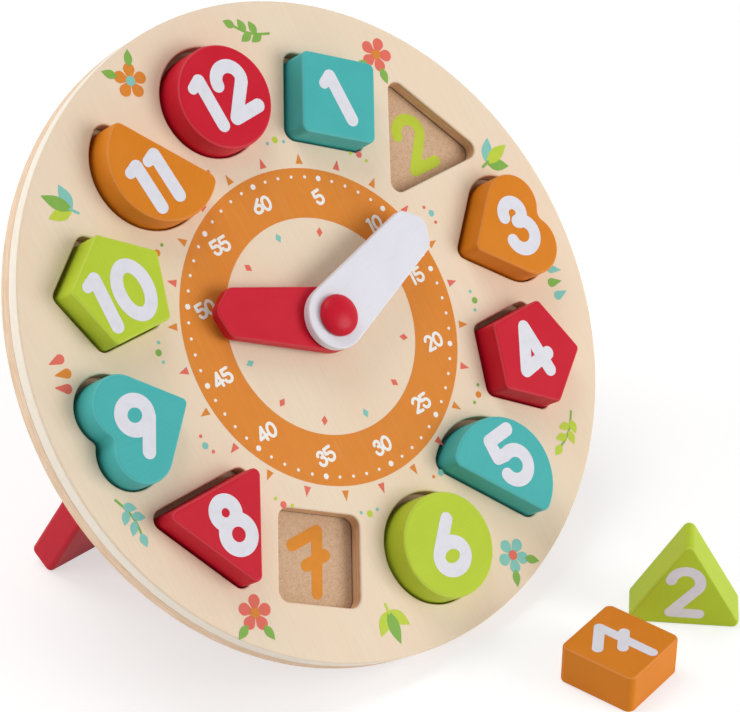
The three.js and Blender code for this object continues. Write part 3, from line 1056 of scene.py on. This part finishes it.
def print_face():
    face = Print()
    print_minute_ring(face)
    for draw, bearing, radius, turn, inks in MOTIFS:
        draw(face, spot(bearing, radius, turn), *inks)
    for k, colour in enumerate(SPOT_INKS):
        place = spot(360 / len(SPOT_INKS) * (k + 0.5), SPOTS_AT)
        face.ink(colour, moved(circle(0, 0, 1.5, step=SMALL_STEP), place))
        for side in (-1, 1):
            dot = circle(-1.2, 4.2 * side, 0.8, step=DOT_STEP)
            face.ink(SPOT_INKS[k - 1], moved(dot, place))
    face.make()


# The pieces

for hour in HOURS:
    make_block(hour)
    make_numeral(hour)
    make_pocket_numeral(hour)
make_front_board()
make_back_board()
make_hand("hour_hand", "red", **HOUR_HAND)
make_hand("minute_hand", "white", **MINUTE_HAND)
make_centre_pin()
make_stand()
print_face()

# The spacer and the dowels are the solid model's own, in beech
bare_beech = beech("bare_beech")
for node in ("hand_spacer", "stand_dowel_left", "stand_dowel_right"):
    piece = frame["nodes"][node]
    piece.data.materials.clear()
    piece.data.materials.append(bare_beech)


# The stage, in metres

FLOOR_HALF = 6.0
FLOOR_FADE = (0.45, 1.3)
SKY_LEVEL = 0.35
LAMP_AIM = Vector((0, 0, 0.1))

# Each lamp: its name, place, width and watts
LAMPS = [
    ("high_lamp", (-0.10, 0.55, 1.81), 1.2, 12.0),
    ("low_lamp", (0.76, -1.58, 0.49), 1.2, 19.5),
    ("side_lamp", (-1.44, 0.90, 0.69), 1.0, 10.0),
]

# The photograph's camera: place and aim on the clock face and lens in millimetres, roll in degrees
CAMERA_PLACE = (-804.27, 40.80, 1130.17)
CAMERA_AIM = (15.4, -21.05, 0)
CAMERA_ROLL = 1.02
CAMERA_LENS = 158.98
CAMERA_SENSOR = 36


def looking(place, aim):
    """The turn that looks from a place at an aim, upright."""
    return (aim - place).to_track_quat("-Z", "Y")


def make_floor():
    """A pale floor that shows white, fading into the sky, still with the clock's shadow on it."""
    bm = bmesh.new()
    bmesh.ops.create_grid(bm, x_segments=1, y_segments=1, size=FLOOR_HALF)
    mesh = bpy.data.meshes.new("floor")
    bm.to_mesh(mesh)
    bm.free()
    f = Finish("pale_floor")
    point = f.object_point()
    far = f.reach(point).step(*FLOOR_FADE)
    lit = f.mix(f.noise(point, 0.8, 2.0), grey(0.93), grey(0.95))
    seen = f.looked_at()
    f.feed(f.shader, {
        "Base Color": f.mix(seen, lit, f.mix(far, grey(0.5), grey(0))),
        "Roughness": 0.9,
        "Specular IOR Level": 0.0,
        "Emission Color": f.mix(seen, grey(0), f.mix(far, grey(0.6), grey(1))),
        "Emission Strength": 1.0,
    })
    mesh.materials.append(f.material)
    floor = bpy.data.objects.new("floor", mesh)
    bpy.context.scene.collection.objects.link(floor)


def make_sky():
    """Even light from all round, which the camera and the gloss see as plain white."""
    world = bpy.data.worlds.new("even_light")
    sky = Nodes(world, "Background")
    level = sky.looked_at() * (1 - SKY_LEVEL) + SKY_LEVEL
    sky.feed(sky.shader, {"Color": grey(1), "Strength": level})
    bpy.context.scene.world = world


def make_lamp(name, place, width, watts):
    lamp = bpy.data.lights.new(name, "AREA")
    lamp.shape = "DISK"
    lamp.size = width
    lamp.energy = watts
    holder = bpy.data.objects.new(name, lamp)
    holder.location = place
    holder.rotation_euler = looking(Vector(place), LAMP_AIM).to_euler()
    bpy.context.scene.collection.objects.link(holder)


def make_camera():
    place = FACE @ Vector(CAMERA_PLACE)
    level = looking(place, FACE @ Vector(CAMERA_AIM)).to_matrix().to_4x4()
    lens = bpy.data.cameras.new("camera")
    lens.sensor_width = CAMERA_SENSOR
    lens.lens = CAMERA_LENS
    holder = bpy.data.objects.new("camera", lens)
    holder.matrix_world = Matrix.Translation(place) @ level @ turned(CAMERA_ROLL)
    bpy.context.scene.collection.objects.link(holder)
    bpy.context.scene.camera = holder


make_floor()
make_sky()
for lamp in LAMPS:
    make_lamp(*lamp)
make_camera()
bpy.context.scene.view_settings.view_transform = "Standard"
